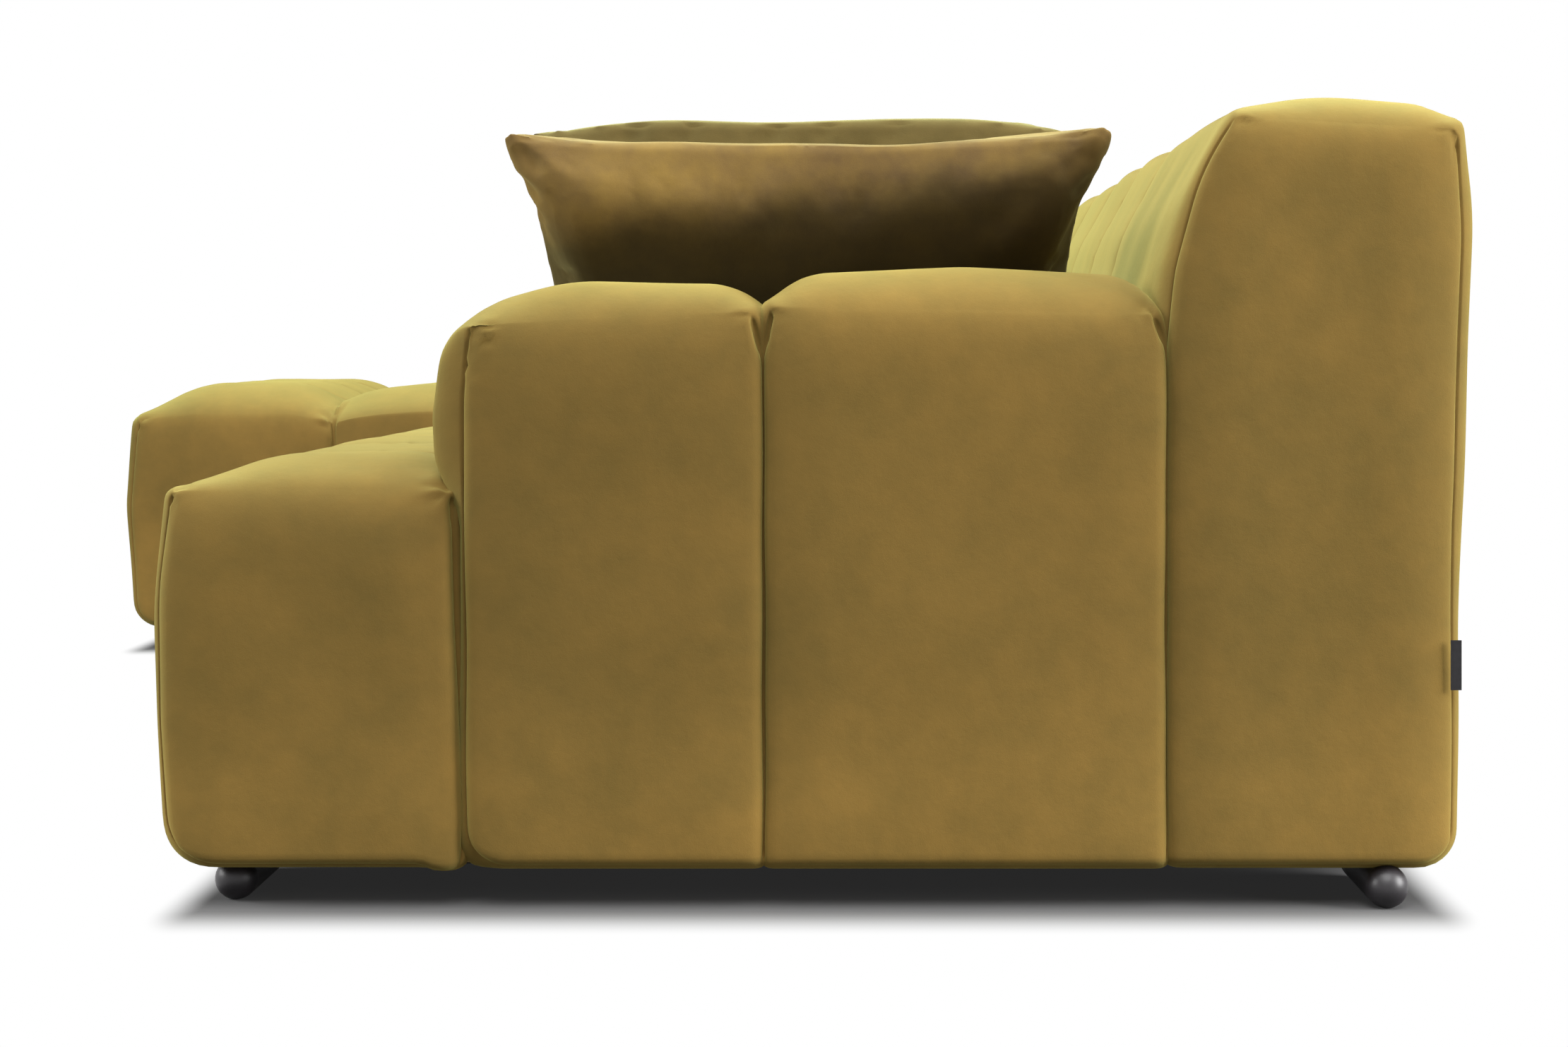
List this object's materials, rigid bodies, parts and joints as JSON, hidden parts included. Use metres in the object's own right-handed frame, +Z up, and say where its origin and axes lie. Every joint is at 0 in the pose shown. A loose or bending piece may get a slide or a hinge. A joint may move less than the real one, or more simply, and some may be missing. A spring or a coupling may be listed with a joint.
{
  "type": "lounge sofa",
  "caption": "Channelled corner lounge sofa with a chaise, one padded armrest, low cylinder feet and loose scatter cushions.",
  "frame": {"origin": "middle of the bounding box, at the floor under the feet", "axes": "+X along the sofa to the armrest end, with the chaise at -X; +Y to the back, -Y to the front; +Z up"},
  "size_m": [3.21, 1.8178, 0.7557],
  "materials": {
    "velvet": "mustard velvet with a soft sheen",
    "foam": "open-cell seat foam",
    "webbing": "woven elastic webbing",
    "timber": "planed softwood",
    "plywood": "sanded plywood",
    "hardboard": "smooth hardboard",
    "dust_cloth": "non-woven dust cloth",
    "zinc": "zinc plated",
    "feet_finish": "satin charcoal lacquer",
    "tag_cloth": "bare woven tag",
    "near_cushion_velvet": "brown velvet",
    "far_cushion_velvet": "olive velvet",
    "cushion_wadding": "soft wadding"
  },
  "bodies": {
    "sofa": {"front_roll_cover": "velvet", "seat_cover": "velvet", "arm_front_cover": "velvet", "arm_rear_cover": "velvet", "back_cover": "velvet", "chaise_front_cover": "velvet", "chaise_seat_cover": "velvet", "chaise_back_cover": "velvet", "front_roll_foam": "foam", "seat_foam": "foam", "arm_foam": "foam", "back_foam": "foam", "chaise_front_foam": "foam", "chaise_seat_foam": "foam", "chaise_back_foam": "foam", "seat_webbing": "webbing", "chaise_webbing": "webbing", "sofa_long_rails": "timber", "sofa_cross_rails": "timber", "chaise_side_rails": "timber", "chaise_cross_rails": "timber", "corner_blocks": "timber", "back_top_rail": "timber", "chaise_back_top_rail": "timber", "arm_boxes": "plywood", "back_posts": "plywood", "chaise_back_posts": "plywood", "back_board": "hardboard", "chaise_back_board": "hardboard", "sofa_dust_cover": "dust_cloth", "chaise_dust_cover": "dust_cloth", "connector_sockets": "zinc", "connector_hooks": "zinc", "connector_screws": "zinc", "frame_screws": "zinc", "foot_bolts": "zinc", "feet": "feet_finish", "side_tag": "tag_cloth"},
    "near_cushion": {"near_cushion_cover": "near_cushion_velvet", "near_cushion_filling": "cushion_wadding"},
    "far_cushion": {"far_cushion_cover": "far_cushion_velvet", "far_cushion_filling": "cushion_wadding"}
  },
  "joints": [
    {"name": "near_cushion_lift", "type": "slide", "parent": "sofa", "child": "near_cushion", "axis": [0.6157, 0, 0.788], "range_m": [0, 0.3]},
    {"name": "far_cushion_lift", "type": "slide", "parent": "sofa", "child": "far_cushion", "axis": [0.5878, 0, 0.809], "range_m": [0, 0.3]}
  ]
}
